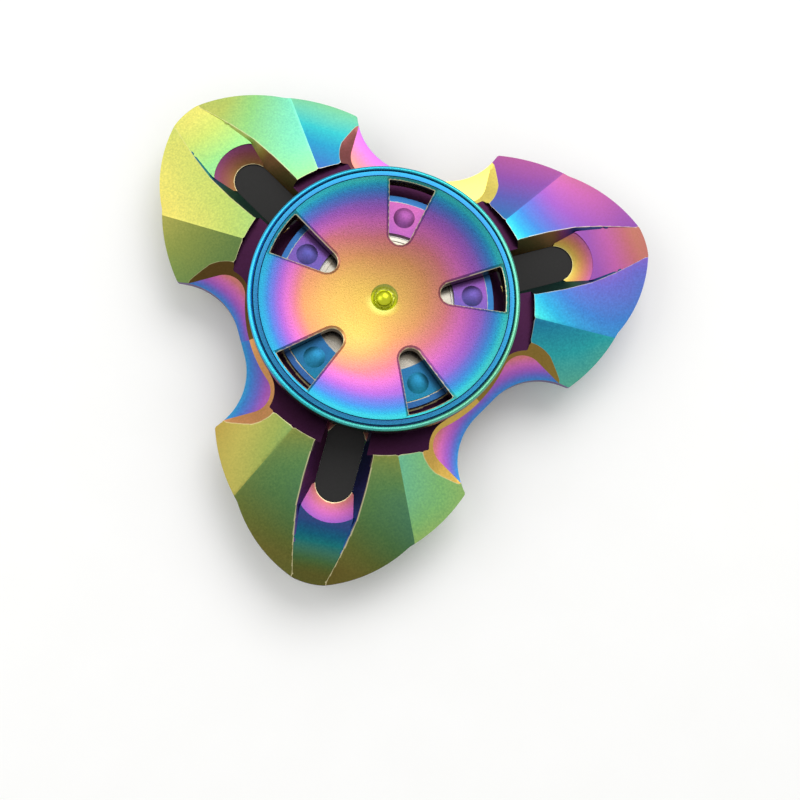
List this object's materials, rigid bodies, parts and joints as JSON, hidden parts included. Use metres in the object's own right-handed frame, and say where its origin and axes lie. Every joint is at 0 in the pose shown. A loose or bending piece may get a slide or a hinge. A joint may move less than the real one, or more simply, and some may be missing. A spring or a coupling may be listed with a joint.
{
  "type": "fidget spinner",
  "caption": "Three-armed metal fidget spinner: a faceted frame with slotted arms turns on a shielded ball bearing held between two windowed finger caps.",
  "frame": {"origin": "middle of the ball bearing, on the spin axis and on the mid-plane of the arms, which is also the object's centre of mass", "axes": "+Z along the spin axis, out of the upper cap; +X along the centre line of the first arm, the others at 120 and 240 degrees"},
  "size_m": [0.0517, 0.0554, 0.0106],
  "materials": {
    "rainbow_steel": "satin bead-blasted steel with a rainbow interference coating",
    "rainbow_cap": "satin bead-blasted steel with a rainbow interference coating, gold at the centre to blue and green at the rim",
    "black_inlay": "matte black",
    "blue_steel": "satin steel with a blue interference coating",
    "gold_steel": "satin steel with a yellow interference coating",
    "bearing_steel": "ground bearing steel",
    "shield_steel": "pressed stainless sheet",
    "ball_steel": "polished bearing steel",
    "brass": "machined brass"
  },
  "bodies": {
    "caps": {"upper_cap": "rainbow_cap", "lower_cap": "rainbow_cap", "axle_stud": "gold_steel", "inner_race": "bearing_steel", "upper_spacer": "bearing_steel", "lower_spacer": "bearing_steel"},
    "frame": {"frame": "rainbow_steel", "slot_inlay_1": "black_inlay", "slot_inlay_2": "black_inlay", "slot_inlay_3": "black_inlay", "retainer_ring": "blue_steel", "retainer_screws": "blue_steel", "outer_race": "bearing_steel", "upper_shield": "shield_steel", "lower_shield": "shield_steel", "upper_shield_clip": "shield_steel", "lower_shield_clip": "shield_steel"},
    "cage": {"ball_cage": "brass"},
    "ball_1": {"ball_1": "ball_steel"},
    "ball_2": {"ball_2": "ball_steel"},
    "ball_3": {"ball_3": "ball_steel"},
    "ball_4": {"ball_4": "ball_steel"},
    "ball_5": {"ball_5": "ball_steel"},
    "ball_6": {"ball_6": "ball_steel"},
    "ball_7": {"ball_7": "ball_steel"},
    "ball_8": {"ball_8": "ball_steel"},
    "ball_9": {"ball_9": "ball_steel"}
  },
  "joints": [
    {"name": "frame_spin", "type": "hinge", "parent": "caps", "child": "frame", "pos_m": [0, 0, 0], "axis": [0, 0, 1], "continuous": true},
    {"name": "cage_spin", "type": "hinge", "parent": "caps", "child": "cage", "pos_m": [0, 0, 0], "axis": [0, 0, 1], "continuous": true},
    {"name": "ball_1_spin", "type": "hinge", "parent": "cage", "child": "ball_1", "pos_m": [0.006, 0, 0], "axis": [0, 0, 1], "continuous": true},
    {"name": "ball_2_spin", "type": "hinge", "parent": "cage", "child": "ball_2", "pos_m": [0.0046, 0.00386, 0], "axis": [0, 0, 1], "continuous": true},
    {"name": "ball_3_spin", "type": "hinge", "parent": "cage", "child": "ball_3", "pos_m": [0.00104, 0.00591, 0], "axis": [0, 0, 1], "continuous": true},
    {"name": "ball_4_spin", "type": "hinge", "parent": "cage", "child": "ball_4", "pos_m": [-0.003, 0.0052, 0], "axis": [0, 0, 1], "continuous": true},
    {"name": "ball_5_spin", "type": "hinge", "parent": "cage", "child": "ball_5", "pos_m": [-0.00564, 0.00205, 0], "axis": [0, 0, 1], "continuous": true},
    {"name": "ball_6_spin", "type": "hinge", "parent": "cage", "child": "ball_6", "pos_m": [-0.00564, -0.00205, 0], "axis": [0, 0, 1], "continuous": true},
    {"name": "ball_7_spin", "type": "hinge", "parent": "cage", "child": "ball_7", "pos_m": [-0.003, -0.0052, 0], "axis": [0, 0, 1], "continuous": true},
    {"name": "ball_8_spin", "type": "hinge", "parent": "cage", "child": "ball_8", "pos_m": [0.00104, -0.00591, 0], "axis": [0, 0, 1], "continuous": true},
    {"name": "ball_9_spin", "type": "hinge", "parent": "cage", "child": "ball_9", "pos_m": [0.0046, -0.00386, 0], "axis": [0, 0, 1], "continuous": true}
  ],
  "couplings": [
    {"joint": "cage_spin", "follows": "frame_spin", "ratio": 0.5992},
    {"joint": "ball_1_spin", "follows": "frame_spin", "ratio": 2.4208},
    {"joint": "ball_2_spin", "follows": "frame_spin", "ratio": 2.4208},
    {"joint": "ball_3_spin", "follows": "frame_spin", "ratio": 2.4208},
    {"joint": "ball_4_spin", "follows": "frame_spin", "ratio": 2.4208},
    {"joint": "ball_5_spin", "follows": "frame_spin", "ratio": 2.4208},
    {"joint": "ball_6_spin", "follows": "frame_spin", "ratio": 2.4208},
    {"joint": "ball_7_spin", "follows": "frame_spin", "ratio": 2.4208},
    {"joint": "ball_8_spin", "follows": "frame_spin", "ratio": 2.4208},
    {"joint": "ball_9_spin", "follows": "frame_spin", "ratio": 2.4208}
  ]
}
